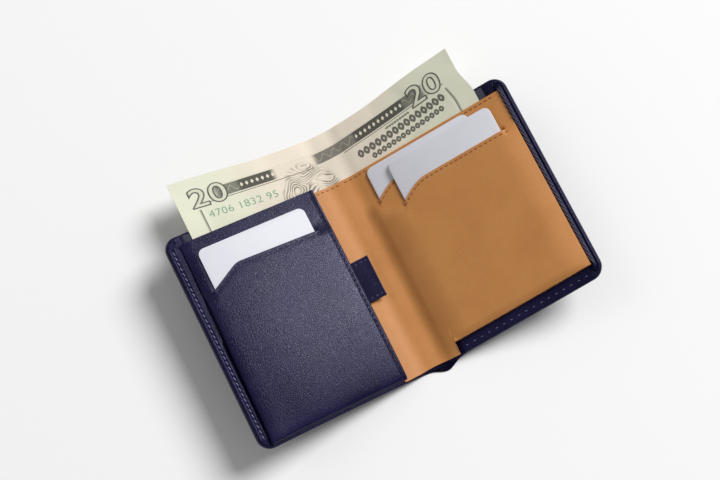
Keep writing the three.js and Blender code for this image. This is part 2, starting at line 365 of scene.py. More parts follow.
def card_material():
    """Blank satin card, very slightly mottled."""
    material, tree, shader, place = new_material("blank_card", "Object")
    mottle = noise(tree, place, 90.0, 3.0)
    connect(tree, shader, {
        "Base Color": tint(tree, mottle, (0.655, 0.655, 0.715), (0.70, 0.70, 0.755)),
        "Roughness": ramp(tree, mottle, 0.2, 0.8, 0.48, 0.56),
        "Specular IOR Level": 0.25,
        "Normal": bump(tree, noise(tree, place, 5000.0), 0.1, 0.00002)})
    return material


def woven(name, colour, deep, thread_width):
    """Plain weave textile: two crossed sets of yarns."""
    material, tree, shader, place = new_material(name)
    parts = node(tree, "ShaderNodeSeparateXYZ", {0: place}).outputs
    turns = math.pi / (thread_width * 10)
    warp, weft = (maths(tree, "SINE", maths(tree, "MULTIPLY", parts[axis], turns)) for axis in "XY")
    weave = maths(tree, "ABSOLUTE", maths(tree, "MULTIPLY", warp, weft))
    connect(tree, shader, {"Base Color": tint(tree, weave, deep, colour), "Roughness": 0.85,
                           "Sheen Weight": 0.2, "Normal": bump(tree, weave, 0.8, 0.0001)})
    return material


def note_paper(height):
    """Cotton note paper, warm in the middle and greenish at its ends, with its engraved printing.
    Lengths in the printing are in millimetres: x from the middle and down from the upper edge."""
    material, tree, shader, place = new_material("printed_note_paper")

    def operation(name):
        return lambda *values: maths(tree, name, *values)

    add, minus, times, over = map(operation, ("ADD", "SUBTRACT", "MULTIPLY", "DIVIDE"))
    size_of, larger, smaller = map(operation, ("ABSOLUTE", "MAXIMUM", "MINIMUM"))
    parts = node(tree, "ShaderNodeSeparateXYZ", {0: place}).outputs
    x = times(parts["X"], 100.0)
    down = minus(height * 1000, times(parts["Y"], 100.0))
    across = size_of(x)

    def within(value, low, high, soft=0.12):
        """1 between two lengths, and 0 outside them."""
        fall = ramp(tree, value, high - soft, high + soft, 1.0, 0.0)
        return times(ramp(tree, value, low - soft, low + soft), fall)

    def wave(value, pitch, shift=0.0):
        return maths(tree, "SINE", add(times(value, 2 * math.pi / pitch), shift))

    ends = ramp(tree, add(across, times(noise(tree, place, 9.0, 3.0), 24.0)), 28.0, 72.0)
    fibre = noise(tree, place, 260.0, 4.0)
    paper = tint(tree, ends, (0.80, 0.71, 0.59), (0.72, 0.73, 0.58))
    paper = tint(tree, ramp(tree, fibre, 0.3, 0.75, 0.0, 0.22), paper, (0.50, 0.46, 0.34))

    # The engraved band under the top margin: hatching, scrolls and a row of pale lozenges.
    band = times(within(down, 6.0, 11.3), larger(within(x, -56.0, -27.0, 2.0), within(x, -6.0, 56.0, 1.5)))
    hatch = ramp(tree, wave(add(x, times(down, 0.8)), 0.6), -0.7, 0.5)
    scroll = size_of(minus(minus(down, 8.7), times(wave(x, 5.2), 1.3)))
    lines = times(ramp(tree, scroll, 0.1, 0.45), hatch)
    column = size_of(minus(maths(tree, "FRACT", over(x, 2.6)), 0.5))
    lozenge = add(times(column, 3.6), size_of(minus(down, 8.6)))
    from_row = size_of(minus(across, 30.0))
    ornaments = times(ramp(tree, lozenge, 0.95, 1.25, 1.0, 0.0), within(from_row, -1.0, 13.5))
    heavy = ramp(tree, from_row, 13.0, 15.5, 0.9, 0.55)
    engraving = times(times(band, add(heavy, times(lines, 0.4))), minus(1.0, ornaments))

    # A thin rule under the band, and the frame's upright strokes under the numerals.
    rule = times(within(down, 11.9, 12.2, 0.1), within(across, 8.0, 66.0))
    upright = times(within(across, 65.2, 66.4), within(down, 14.5, 60.0))
    upright = times(upright, ramp(tree, across, 65.2, 66.4, 0.85, 0.3))

    # An oval medallion of engraved curls, a little left of the middle.
    dx = over(add(x, 14.0), 15.5)
    dy = over(minus(down, 28.0), 21.0)
    far = maths(tree, "SQRT", add(times(dx, dx), times(dy, dy)))
    curls = wave(times(noise(tree, place, 8.0, 0.5), 22.0), 1.0)
    shades = noise(tree, place, 15.0, 1.0)
    curls = times(ramp(tree, curls, -0.9, 1.0), ramp(tree, shades, 0.35, 0.62, 0.2, 0.75))
    medallion = times(curls, ramp(tree, far, 0.86, 1.02, 1.0, 0.0))

    def ornament_row(middle, tall, pitch, first, last):
        """A row of nested lozenges."""
        reach = times(size_of(minus(maths(tree, "FRACT", over(x, pitch)), 0.5)), 2.0)
        rise = over(size_of(minus(down, middle)), tall)
        size = add(maths(tree, "POWER", reach, 1.5), maths(tree, "POWER", rise, 1.7))
        body = ramp(tree, size, 0.85, 1.05, 1.0, 0.0)
        heart = ramp(tree, add(reach, rise), 0.22, 0.42, 0.2, 1.0)
        return times(times(body, heart), within(x, first, last))

    top_row = ornament_row(13.6, 0.6, 1.5, 31.0, 45.0)
    large = ornament_row(16.9, 2.1, 3.3, 13.2, 62.7)
    small = ornament_row(21.2, 1.5, 2.7, 18.9, 59.4)
    rows = times(add(top_row, add(large, small)), 0.85)

    # A lighter band along the bottom margin, and fine wavy lines under all the printing.
    foot = times(times(within(down, 55.4, 59.0), within(across, -1.0, 48.0)), add(0.35, times(hatch, 0.4)))
    total = larger(engraving, larger(larger(rule, foot), upright))
    total = larger(total, larger(medallion, rows))
    ripple = wave(add(down, times(wave(x, 11.0), 1.6)), 0.95)
    under = times(ramp(tree, ripple, -0.3, 0.9), within(across, -1.0, 63.5))
    under = times(under, within(down, 5.0, 61.0))
    paper = tint(tree, times(under, 0.17), paper, (0.20, 0.22, 0.13))

    creased = bump(tree, noise(tree, place, 2.6, 1.5, 0.6), 0.6, 0.006)
    rough = node(tree, "ShaderNodeBump", {"Height": fibre, "Normal": creased, "Strength": 0.25,
                                          "Distance": 0.00006}).outputs[0]
    connect(tree, shader, {"Base Color": tint(tree, smaller(total, 0.94), paper, (0.03, 0.03, 0.024)),
                           "Normal": rough, "Roughness": 0.8})
    return material


def ink(name, colour):
    """Raised printing ink, slightly uneven."""
    material, tree, shader, place = new_material(name, "Object")
    thin = tuple(mix(c, 0.5, 0.18) for c in colour)
    patchy = ramp(tree, noise(tree, place, 1500.0), 0.35, 0.7)
    connect(tree, shader, {"Base Color": tint(tree, patchy, colour, thin), "Roughness": 0.7})
    return material


# ---------------------------------------------------------------- settings

def colour_setting(name, description, default):
    return bpy.props.FloatVectorProperty(name=name, description=description, subtype="COLOR", default=default,
                                         min=0, max=1)


def length_setting(name, description, default, low, high):
    return bpy.props.FloatProperty(name=name, description=description, subtype="DISTANCE", unit="LENGTH",
                                   default=default, min=low, max=high)


class WalletSettings(bpy.types.PropertyGroup):
    """Sizes and colours that a maker would change."""

    navy: colour_setting("Navy", "Outer leather's dye", (0.0125, 0.0105, 0.044))
    navy_deep: colour_setting("Deep Navy", "Outer leather's dye in its creases", (0.006, 0.005, 0.026))
    tan: colour_setting("Tan", "Lining leather's colour", (0.56, 0.24, 0.069))
    tan_deep: colour_setting("Deep Tan", "Lining leather in its creases", (0.515, 0.212, 0.058))
    grain: length_setting("Grain", "Width of the navy leather's pebbles", 0.0009, 0.0003, 0.003)
    leather_thickness: length_setting("Leather", "Thickness of the pocket leather", 0.00065, 0.0003, 0.0008)
    rim_rise: length_setting("Rim", "Height of the turned rim above the outer face", 0.0027, 0.002, 0.003)
    stitch_pitch: length_setting("Stitch Pitch", "From one stitch to the next", 0.0026, 0.0015, 0.005)
    note_spread: length_setting("Note Spread", "How far the notes dip towards the spine", 0.0058, 0.0, 0.01)


def settings():
    return bpy.context.scene.wallet


def navy_leather():
    s = settings()
    return bpy.data.materials.get("navy_leather_grained") or leather(
        "navy_leather_grained", tuple(s.navy), tuple(s.navy_deep), s.grain * 10, 0.00007, 0.31, 0.3,
        (0.80, 0.78, 1.0), handled=(-0.34, 0.04, 0.0))


def tan_leather():
    s = settings()
    return bpy.data.materials.get("tan_leather_smooth") or leather(
        "tan_leather_smooth", tuple(s.tan), tuple(s.tan_deep), 0.006, 0.00006, 0.5, 0.42, (1.0, 0.98, 0.95))


# ---------------------------------------------------------------- outlines, slits and heights

def corner_reach(x):
    """Half the leaf's height at x, with its rounded outer corners."""
    turn = max(x - (LEAF_EDGE - CORNER), 0.0)
    return HALF - CORNER + math.sqrt(max(CORNER ** 2 - turn ** 2, 0.0))


def edge_distance(x, y):
    """Distance from a point of a leaf to the leaf's outline."""
    turn_x = x - (LEAF_EDGE - CORNER)
    turn_y = abs(y) - (HALF - CORNER)
    if turn_x > 0 and turn_y > 0:
        return CORNER - math.hypot(turn_x, turn_y)
    return min(LEAF_EDGE - x, HALF - abs(y))


class Slit:
    """A card slit: its lane in the sheet, its two ends, its line, and how far the leather takes to settle."""

    def __init__(self, lane, start, end, line, spread):
        self.lane, self.start, self.end, self.line, self.spread = lane, start, end, line, spread

    def below(self, x, y, sides):
        """1 on the pocket's wall, 0 above the slit, and in between beside its ends."""
        easy = 1 - smooth((y - self.line(x)) / self.spread + 0.5)
        firm = 0.5 - 0.5 * sides[self.lane]
        ease = 1.9 * MM
        share = smooth((x - self.start) / ease) * smooth((self.end - x) / ease)
        return mix(easy, firm, share)

    def cut(self):
        return (self.lane, self.start, self.end)

    def beside(self):
        """Points of the row of stitches under the slit, from end to end."""
        places = stations([self.start + 0.6 * MM, self.end - 0.4 * MM], [1 * MM])
        return [(x, self.line(x) - SEAM_INSET) for x in places]

    def seam_groove(self, x, y, *shape):
        """How deep the row of stitches under the slit pulls the leather in."""
        return groove(y - self.line(x) + SEAM_INSET, *shape) if self.start < x < self.end else 0.0


def sides_of(x, y, *slits):
    """Which side of the slits a point lies on, in solid_sheet's way: -1 below and 1 above."""
    sides = [1, 1, 1]
    for slit in slits:
        sides[slit.lane] = -1 if y < slit.line(x) else 1
    return sides


def thumb_cut(lane, card, wall, before, drop):
    """A slit that starts before the card's edge, rises in a quarter wave and then runs level to the wall's
    top, past the card's other edge."""
    start = card[0].x - before
    reach = 16 * MM

    def line(x):
        return wall[1].y - drop + drop * math.sin(math.pi / 2 * min(max((x - start) / reach, 0.0), 1.0))

    return Slit(lane, start, card[1].x + 2.3 * MM, line, 7 * MM)


FRONT_SLIT = thumb_cut(1, CARD_FRONT, FRONT, 1.7 * MM, 7.0 * MM)
REAR_SLIT = thumb_cut(2, CARD_REAR, MIDDLE, 1.5 * MM, 6.6 * MM)
LEFT_SLIT_START = CARD_LEFT[0].x - 1.9 * MM


def left_slit_line(x):
    """The left slit rises gently, and its outer end slants down."""
    level = PANEL_FRONT[1].y - 0.9 * MM + (x - LEFT_SLIT_START) * 0.03
    slant = PANEL_FRONT[1].y + 0.6 * MM - (x - CARD_LEFT[0].x - 39.5 * MM) * 0.56
    width = 1.2 * MM
    share = min(max(0.5 + (slant - level) / (2 * width), 0.0), 1.0)
    return mix(slant, level, share) - width * share * (1 - share)


LEFT_SLIT = Slit(2, LEFT_SLIT_START, CARD_LEFT[1].x + 2.0 * MM, left_slit_line, 8 * MM)


def groove(distance, width=0.5 * MM, depth=0.16 * MM):
    """How deep a row of stitches pulls the leather in, at a distance from the row."""
    return depth * math.exp(-(distance / width) ** 2)


def pillow(distance, width):
    """Rises from 0 at an edge to 1 at the given width, round as a stuffed edge."""
    return math.sin(math.pi / 2 * min(max(distance / width, 0.0), 1.0))


def bulge(t):
    """1 in the middle of a stuffed pocket, falling to 0 at its edge where t is 1."""
    return max(1 - min(abs(t), 1.0) ** 4, 0.0) ** 0.25


def pillow_arc(distance, radius):
    """A quarter circle's height at a distance in from an edge."""
    return math.sqrt(max(1 - max(1 - distance / radius, 0.0) ** 2, 0.0))


def climb(distance, width):
    """As pillow, but with a soft start."""
    t = distance / width
    return math.sin(math.pi / 2 * min(0.5 * (t + math.sqrt(t * t + 0.012)), 1.0))


def tan_face_height(x, y, sides):
    """The tan face's upper side: over the lining, the rear card and the front card in turn."""
    lining_top = LINING[1].z
    rear_rise = MIDDLE[1].z - lining_top
    front_rise = FRONT[1].z - lining_top
    u = x - FOLD_X
    rear = rear_rise * climb(u + 1.0 * MM, 9 * MM)
    rear *= 1 - smooth((x - CARD_REAR[1].x - 2 * MM) / (8 * MM))
    front = front_rise * climb(u + 1.0 * MM, 19 * MM)
    front = min(front, mix(1.8 * MM, front_rise, pillow(LINING[1].x - x, 12 * MM)))
    front *= mix(0.3, 1.0, smooth((y - LINING_FLUSH) / (7.5 * MM)))
    lower = pillow(y - LINING_LOWER, 2.8 * MM)
    front = mix(min(front, 2.3 * MM), front, max(lower, 1 - smooth((x - BORDER_END) / (2.5 * MM))))
    rear *= REAR_SLIT.below(x, y, sides)
    height = lining_top + mix(rear, front, FRONT_SLIT.below(x, y, sides)) - FRONT_SLIT.seam_groove(x, y)
    if sides[FRONT_SLIT.lane] > 0:
        height -= REAR_SLIT.seam_groove(x, y)
    return height - groove(y - LINING_UPPER + SEAM_INSET)


def tan_face_bottom(thickness):
    def height(x, y, sides):
        upper = tan_face_height(x, y, sides)
        edge = min(LINING[1].x - x, y - lining_lower(x)) if x > BORDER_END else 1.0
        return mix(LINING[0].z, upper - thickness, smooth(edge / (0.7 * MM)))
    return height


def lining_lower(x):
    """The tan leather's lower edge: flush at the spine, and stepping up to the border beside it."""
    curve = 0.8 * MM * math.exp(-(x / (9 * MM)) ** 2)
    step = min(max((x - BORDER_END + 0.6 * MM) / (0.6 * MM), 0.0), 1.0)
    return mix(LINING_FLUSH + curve, LINING_LOWER, step)


def rim_height(side):
    """The shell's inner face: flat, with its edge turned in as a rolled rim and crimped at the corners."""
    plate = SHELL[0].z + SHELL_LEATHER
    crest = settings().rim_rise

    def beside_fold(d):
        """Rolled edge, a row of stitches, and the flat turned-in leather."""
        crown = pillow_arc(d, 1.5 * MM)
        level = mix(ROLL_LEVEL, crest + 0.6 * MM, crown) - 0.35 * MM * smooth((d - 1.8 * MM) / (1.2 * MM))
        return level - groove(d - 3.0 * MM, 0.45 * MM, 0.3 * MM)

    def corded(d):
        """Rolled edge and a corded seam inside it, with a deep line on both of the cord's sides."""
        crown = pillow_arc(d, 1.3 * MM)
        level = mix(ROLL_LEVEL, crest + 0.5 * MM, crown) - 0.35 * MM * smooth((d - 1.3 * MM) / (0.8 * MM))
        level += 0.55 * MM * math.exp(-((d - 3.3 * MM) / (0.95 * MM)) ** 2)
        return level - groove(d - 1.9 * MM, 0.3 * MM, 0.35 * MM) - groove(d - 5.0 * MM, 0.5 * MM, 0.5 * MM)

    def flat_border(d):
        crown = pillow_arc(d, 1.2 * MM)
        return mix(ROLL_LEVEL, crest - 0.3 * MM, crown) - groove(d - 2.9 * MM, 0.4 * MM, 0.08 * MM)

    def height(x, y, sides):
        d = max(edge_distance(x, y), 0.0)
        to_side, to_end = LEAF_EDGE - x, HALF - abs(y)
        at_side = smooth((to_end - to_side) / (2.5 * MM) + 0.5)
        width = 9.5 * MM if side == LEFT else mix(7.2 * MM, 4.3 * MM, at_side)
        full = mix(flat_border(d), beside_fold(d) if side == LEFT else corded(d), at_side)
        if side == LEFT and y < 0:
            full = mix(full, min(full, mix(ROLL_LEVEL, 2.0 * MM, pillow_arc(d, 0.9 * MM))),
                       smooth((to_side - 4 * MM) / (3 * MM)))
        full = mix(full, plate, smooth((d - width) / (0.8 * MM)))
        angle = math.atan2(abs(y) - (HALF - CORNER), x - (LEAF_EDGE - CORNER))
        in_corner = smooth(angle / 0.3) * smooth((math.pi / 2 - angle) / 0.3)
        spread = smooth((d - 0.3 * MM) / (0.8 * MM)) * (1 - smooth((d - 3.8 * MM) / (1.8 * MM)))
        full += 0.32 * MM * in_corner * spread * math.sin(angle * 27)
        thin = mix(0.5 * MM, 1.06 * MM, pillow_arc(d, 0.6 * MM))
        if y > 0:
            share = smooth((x - (LEAF_EDGE - 10.5 * MM)) / (2.5 * MM))
        else:
            share = smooth((x - BORDER_END) / (1.5 * MM))
        return mix(thin, full, share)
    return height


def shell_outside(x, y, sides):
    """The shell's outer face, rounded over at its edge."""
    d = max(edge_distance(x, y), 0.0)
    roll = 0.9 * MM
    lowest = 0.9 * MM if x > BORDER_END else 0.5 * MM
    return lowest * (1 - pillow_arc(d, roll))


def panel_height(x, y, sides):
    """The navy panel's upper side: raised by the card, sunk above the slit and drawn down at its edges."""
    base = mix(2.6 * MM, 4.0 * MM, smooth((x - PANEL[1].x + 14 * MM) / (10 * MM)))
    above = PANEL[1].z + 0.05 * MM - base
    below = PANEL_FRONT[1].z + 0.38 * MM - base
    crown = PANEL[0].x + 31 * MM
    outer = bulge((x - crown) / (PANEL[1].x - crown)) if x > crown else 1.0
    inner = mix(0.6, 1.0, bulge((crown - x) / (crown - PANEL[0].x))) if x < crown else 1.0
    lower = bulge(-(y + 8 * MM) / (-8 * MM - PANEL_LOWER)) if y < -8 * MM else 1.0
    upper = bulge((y + 8 * MM) / (56 * MM)) if y > -8 * MM else 1.0
    flat = above * pillow(PANEL[1].x - x, 5 * MM) * mix(0.93, 1.0, pillow(x - PANEL[0].x, 4 * MM))
    height = base + mix(flat, below * outer * inner * lower * upper, LEFT_SLIT.below(x, y, sides))
    wide_row = (0.6 * MM, 0.34 * MM)
    return height - groove(x - PANEL_SEAM, *wide_row) - LEFT_SLIT.seam_groove(x, y, *wide_row)


# ---------------------------------------------------------------- operators

class WALLET_OT_shell(bpy.types.Operator):
    """Cut the navy shell in two halves, turn its edges in and fold it round the spine"""

    bl_idname = "wallet.shell"
    bl_label = "Shell"

    def execute(self, context):
        for side, end in SIDES:
            columns = stations([0, 14 * MM, LEAF_EDGE - 9 * MM], [0.9 * MM, 1.6 * MM])[:-1]
            columns += rounded_stations(LEAF_EDGE - 9 * MM, LEAF_EDGE, CORNER, 0.4 * MM, 22)
            lanes = [lambda x: -corner_reach(x) - self.spine_lip(side, x),
                     lambda x: -corner_reach(x) + 2 * MM, lambda x: -corner_reach(x) + 9 * MM,
                     lambda x: corner_reach(x) - 9 * MM, lambda x: corner_reach(x) - 2 * MM, corner_reach]
            bm = solid_sheet(columns, lanes, [10, 18, 50, 18, 10], rim_height(side), shell_outside)
            piece = finish_piece(f"shell_half_{end}", bm, side, navy_leather())
            hinge_on(piece)
            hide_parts(f"shell_{end}", "shell_spine")
        return {"FINISHED"}

    def spine_lip(self, side, x):
        """How far the rolled end of the spine stands out below the leaves."""
        return 2.9 * MM * math.exp(-((side * x - 4.6 * MM) / (5.2 * MM)) ** 2)


class WALLET_OT_textile(bpy.types.Operator):
    """Line the note sleeve with thin woven textile"""

    bl_idname = "wallet.textile"
    bl_label = "Sleeve Textile"

    def execute(self, context):
        box = flat_box("note_pocket_lining_right")
        cloth = woven("sleeve_textile_weave", (0.05, 0.055, 0.085), (0.02, 0.022, 0.04), 0.0005)
        columns = stations([0, 12 * MM, box[1].x], [1.0 * MM, 4 * MM])
        lanes = [steady(box[0].y), steady(box[1].y)]
        for side, end in SIDES:
            bm = solid_sheet(columns, lanes, [24], steady(box[1].z), steady(box[0].z + 0.02 * MM))
            piece = finish_piece(f"sleeve_textile_{end}", bm, side, cloth)
            hinge_on(piece)
            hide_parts(f"note_pocket_lining_{end}", "note_pocket_lining_spine")
        return {"FINISHED"}


class WALLET_OT_lining(bpy.types.Operator):
    """Cut the tan lining and the right leaf's face with its two card slits"""

    bl_idname = "wallet.lining"
    bl_label = "Tan Lining and Face"

    def execute(self, context):
        tan = tan_leather()
        thickness = settings().leather_thickness
        columns = stations([0, 13 * MM, FRONT_SLIT.start, FRONT_SLIT.start + 16 * MM, LINING[1].x - 8 * MM,
                            LINING[1].x], [0.6 * MM, 0.5 * MM, 0.8 * MM, 1.1 * MM, 0.4 * MM])
        for place in (REAR_SLIT.start, BORDER_END - 0.6 * MM, BORDER_END):
            near = min(range(len(columns)), key=lambda k: abs(columns[k] - place))
            columns[near] = place
        lanes = [lining_lower, FRONT_SLIT.line, REAR_SLIT.line, steady(LINING_UPPER)]
        bm = solid_sheet(columns, lanes, [70, 10, 16], tan_face_height, tan_face_bottom(thickness),
                         [FRONT_SLIT.cut(), REAR_SLIT.cut()])
        face = finish_piece("tan_face_right", bm, RIGHT, tan, bevel=0.1 * MM)
        hinge_on(face)
        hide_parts("lining_right", "right_pocket_front", "right_pocket_middle", "lining_spine")

        hidden = PANEL[0].x + 1 * MM
        columns = stations([0, hidden, PANEL[1].x - 0.5 * MM], [0.6 * MM, 3 * MM])

        def lining_top(x, y, sides):
            return tan_face_height(-x, y, (0, 0, 0)) if x < hidden else LINING[1].z

        def lower_edge(x):
            return LINING_LOWER if x > hidden else lining_lower(min(x, BORDER_END - 1 * MM))

        bm = solid_sheet(columns, [lower_edge, steady(LINING_UPPER)], [90], lining_top, steady(LINING[0].z))
        left = finish_piece("tan_lining_left", bm, LEFT, tan, bevel=0.1 * MM)
        hinge_on(left)
        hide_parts("lining_left", "lining_spine")
        for name, level, slit, start in (
                ("card_wall_rear", LINING, REAR_SLIT, BORDER_END + 2 * MM),
                ("card_wall_middle", MIDDLE, FRONT_SLIT, FRONT_SLIT.start - 1 * MM)):
            card_wall(name, RIGHT, tan, [start, CARD_FRONT[1].x + 1 * MM],
                      LINING_LOWER + 1 * MM, slit, level[0].z + 0.02 * MM, level[1].z - 0.02 * MM)
        return {"FINISHED"}


class WALLET_OT_panel(bpy.types.Operator):
    """Cut the navy pocket panel of the left leaf, with its slit"""

    bl_idname = "wallet.panel"
    bl_label = "Left Panel"

    def execute(self, context):
        thickness = settings().leather_thickness
        columns = stations([PANEL[0].x, PANEL[0].x + 4 * MM, PANEL[1].x - 6 * MM, PANEL[1].x],
                           [0.35 * MM, 0.9 * MM, 0.35 * MM])
        lanes = [steady(PANEL_LOWER), steady(PANEL_LOWER + 7 * MM), LEFT_SLIT.line, steady(PANEL[1].y)]

        def under(x, y, sides):
            pared = 0.15 * MM + 0.12 * min(PANEL[1].x - x, y - PANEL_LOWER)
            return panel_height(x, y, sides) - min(thickness, pared)

        def slant(x, y, z):
            """The panel's outer edge runs a little further out towards its lower corner."""
            far = smooth((x - PANEL[1].x + 22 * MM) / (22 * MM))
            return x + 2.0 * MM * far * (HALF - y) / (2 * HALF), y, z

        bm = solid_sheet(columns, lanes, [20, 64, 20], panel_height, under, [LEFT_SLIT.cut()])
        panel = finish_piece("navy_panel_left", bm, LEFT, navy_leather(), warp=slant,
                             bevel=0.12 * MM)
        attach(panel, "left_leaf")
        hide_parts("left_pocket_front", "left_pocket_back")

        card_wall("card_wall_left", LEFT, navy_leather(),
                  [PANEL[0].x + 1 * MM, PANEL[1].x - 5 * MM], PANEL_LOWER + 6 * MM, LEFT_SLIT,
                  PANEL[0].z, PANEL[1].z)
        return {"FINISHED"}


class WALLET_OT_cards(bpy.types.Operator):
    """Make the blank cards in their slots and in the hidden pocket"""

    bl_idname = "wallet.cards"
    bl_label = "Cards"

    def execute(self, context):
        blank = card_material()
        for name, box, side, body in (("card_left", CARD_LEFT, LEFT, "card_left"),
                                      ("card_right_front", CARD_FRONT, RIGHT, "card_right_front"),
                                      ("card_right_rear", CARD_REAR, RIGHT, "card_right_rear"),
                                      ("stash_card", STASH_CARD, LEFT, "stash")):
            piece = self.card(f"blank_{name}", box, side, blank)
            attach(piece, body)
            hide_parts(name)
        return {"FINISHED"}

    def card(self, name, box, side, blank):
        low, high = box
        size = high - low
        bm = bmesh.new()
        matrix = Matrix.Translation((low + high) / 2) @ Matrix.Diagonal((*size, 1))
        bmesh.ops.create_cube(bm, size=1, matrix=matrix)

        def round_off(edges, radius, segments):
            bmesh.ops.bevel(bm, geom=edges, offset=radius, segments=segments, profile=0.5, affect="EDGES",
                            material=-1)

        def drop(edge):
            return abs(edge.verts[0].co.z - edge.verts[1].co.z)

        round_off([e for e in bm.edges if drop(e) > 0.5 * size.z], CARD_CORNER, 10)
        round_off([e for e in bm.edges if drop(e) < 1e-7 and e.calc_face_angle(0) > 1], 0.12 * MM, 2)
        return finish_piece(name, bm, side, blank, sharp=35)


class WALLET_OT_stash(bpy.types.Operator):
    """Make the pull tab and the ribbon that draws the hidden card out"""

    bl_idname = "wallet.stash"
    bl_label = "Pull Tab and Ribbon"

    def execute(self, context):
        tab_box = flat_box("pull_tab")
        ribbon_box = flat_box("stash_ribbon")
        root = PANEL[0].x + 1.0 * MM
        tip = tab_box[0].x - 0.4 * MM
        low, high = tab_box[0].y, tab_box[1].y
        base = ribbon_box[0].z + TAB_LIFT

        def rise(x):
            return base + TAB_SLOPE * max(PANEL[0].x - x, 0.0)

        def rounding(x, y):
            return 0.42 * MM * (1 - pillow_arc(min(x - tip, y - low, high - y), 0.5 * MM))

        def upper(x, y, sides):
            stitch = min(abs(y - low - TAB_SEAM), abs(high - TAB_SEAM - y))
            return rise(x) + TAB_LEATHER - rounding(x, y) - groove(stitch, 0.4 * MM, 0.12 * MM)

        columns = stations([tip, tip + 0.6 * MM, root], [0.1 * MM, 0.4 * MM])
        lanes = [steady(y) for y in (low, low + 0.6 * MM, high - 0.6 * MM, high)]
        bm = solid_sheet(columns, lanes, [6, 50, 6], upper, lambda x, y, s: rise(x) + rounding(x, y))
        tab = finish_piece("pull_tab_leather", bm, LEFT, navy_leather())
        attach(tab, "stash")
        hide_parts("pull_tab")

        cloth = woven("ribbon_weave", (0.06, 0.065, 0.1), (0.02, 0.02, 0.035), 0.0004)
        columns = stations([PANEL[0].x + 0.8 * MM, STASH_CARD[1].x + 0.9 * MM], [1.5 * MM])
        lanes = [steady(ribbon_box[0].y), steady(ribbon_box[1].y)]
        under = ribbon_box[0].z
        bm = solid_sheet(columns, lanes, [14], steady(under + 0.3 * MM), steady(under))
        ribbon = finish_piece("stash_ribbon_woven", bm, LEFT, cloth)
        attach(ribbon, "stash")
        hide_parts("stash_ribbon")
        return {"FINISHED"}


class Note:
    """One note of the pair: how its flat paper lies in the sleeve."""

    def __init__(self, box):
        self.low, self.high = box
        self.half = box[1].x
        self.height = box[1].y - box[0].y
        self.level = (box[0].z + box[1].z) / 2

    def place(self, side, along, up, lift=0.0):
        """The row-frame place of a point of the note: along from its middle, up from its lower edge."""
        y = self.low.y + up
        share = along / self.half
        out = smooth((y - HALF + 1 * MM) / (14 * MM))
        dip = settings().note_spread * (1 - share ** 1.35)
        lean = 2.6 * MM * share * (out if side == RIGHT else 0.0)
        curl = 0.1 * MM + 0.14 * MM * math.sin(side * along / (7.5 * MM) + 0.7)
        edge = smooth((y - self.high.y + 5 * MM) / (5 * MM))
        waviness = 0.35 * MM * edge * math.sin(side * along / (9 * MM) + 2)
        return fold(side, along - lean, y - dip + waviness, self.level + lift + out * curl)


class WALLET_OT_notes(bpy.types.Operator):
    """Make the two notes in the sleeve, with their printed numerals"""

    bl_idname = "wallet.notes"
    bl_label = "Notes"

    def execute(self, context):
        for box, label in ((NOTE_BACK, "back"), (NOTE_FRONT, "front")):
            note = Note(box)
            paper = note_paper(note.height)
            for side, end in SIDES:
                sheet = self.half_note(f"note_{label}_{end}_paper", note, side, paper)
                hinge_on(sheet)
                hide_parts(f"note_{label}_{end}", f"note_{label}_mid")
            self.numerals(note, label)
        return {"FINISHED"}

    def half_note(self, name, note, side, paper):
        columns = stations([0, 12 * MM, note.half], [0.8 * MM, 1.3 * MM])
        lanes = [steady(0.0), steady(note.height)]
        bm = solid_sheet(columns, lanes, [52], steady(0.06 * MM), steady(-0.06 * MM))
        map_pattern(bm, side)
        for vert in bm.verts:
            vert.co = note.place(side, *vert.co)
        if side == LEFT:
            bmesh.ops.reverse_faces(bm, faces=bm.faces[:])
        return make_object(name, bm, paper, 60)

    def numerals(self, note, label):
        """The value at both ends, in outline, and a green number under the left one."""
        dark = ink("note_ink_dark", (0.05, 0.05, 0.04))
        pale = ink("note_ink_pale", (0.62, 0.62, 0.47))
        green = ink("note_ink_green", (0.13, 0.32, 0.2))
        down = note.height - 13.1 * MM
        for side, end in SIDES:
            start = -68.5 * MM if side == LEFT else 47.5 * MM
            for part, grow, lift, material in (("edge", 0.042, 0.11, dark), ("face", 0.0, 0.15, pale)):
                self.word(f"note_{label}_{end}_numeral_{part}", note, side, "20", start, down, 12.8 * MM,
                          1.36, grow, lift * MM, material)
        self.word(f"note_{label}_number", note, LEFT, "4706 1832 95", -63 * MM, note.height - 19.6 * MM,
                  5.0 * MM, 1.14, -0.006, 0.1 * MM, green)

    def word(self, name, note, side, text, start, up, size, stretch, grow, lift, material):
        """Lettering laid on the note, following its curves. start is along the note from its middle, stretch
        widens the letters, and grow thickens their strokes."""
        font = bpy.data.curves.new(name, "FONT")
        font.body = text
        font.size = 1.0
        font.offset = grow
        font.space_character = 1.08
        letters = new_object(name, font)
        mesh = bpy.data.meshes.new_from_object(letters.evaluated_get(bpy.context.evaluated_depsgraph_get()))
        bpy.data.objects.remove(letters)
        bpy.data.curves.remove(font)
        bm = bmesh.new()
        bm.from_mesh(mesh)
        bpy.data.meshes.remove(mesh)
        widest = max(v.co.x for v in bm.verts)
        for k in range(1, int(widest * 6)):
            everything = bm.verts[:] + bm.edges[:] + bm.faces[:]
            bmesh.ops.bisect_plane(bm, geom=everything, plane_co=(k / 6, 0, 0), plane_no=(1, 0, 0))
        for vert in bm.verts:
            along = side * (start + vert.co.x * size * stretch)
            vert.co = note.place(side, along, up + vert.co.y * size, lift)
        bmesh.ops.recalc_face_normals(bm, faces=bm.faces[:])
        if sum(f.normal.z for f in bm.faces) < 0:
            bmesh.ops.reverse_faces(bm, faces=bm.faces[:])
        hinge_on(make_object(name, bm, material, 60))


